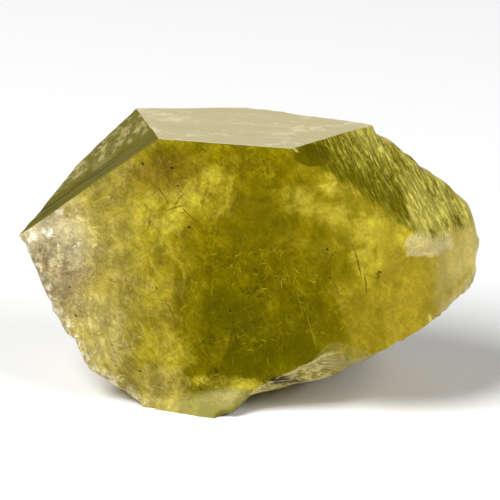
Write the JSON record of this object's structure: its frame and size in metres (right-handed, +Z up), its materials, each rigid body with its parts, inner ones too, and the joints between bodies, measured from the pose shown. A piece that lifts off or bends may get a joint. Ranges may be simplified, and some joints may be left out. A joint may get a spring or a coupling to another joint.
{
  "type": "brazilianite crystal",
  "caption": "Loose rough crystal of olive-yellow brazilianite with a smooth top, striated and etched slopes, a broken front and a flat base it rests on.",
  "frame": {"origin": "middle of the crystal's overall box, at the level of the base", "axes": "+X along the crystal to the viewer's right in the picture, +Y away from the viewer, +Z up from the base"},
  "size_m": [0.0302, 0.0164, 0.0172],
  "materials": {
    "brazilianite": "vitreous on the natural faces, frosted and hackly on the broken ones"
  },
  "bodies": {
    "root": {"crystal": "brazilianite"}
  },
  "joints": []
}
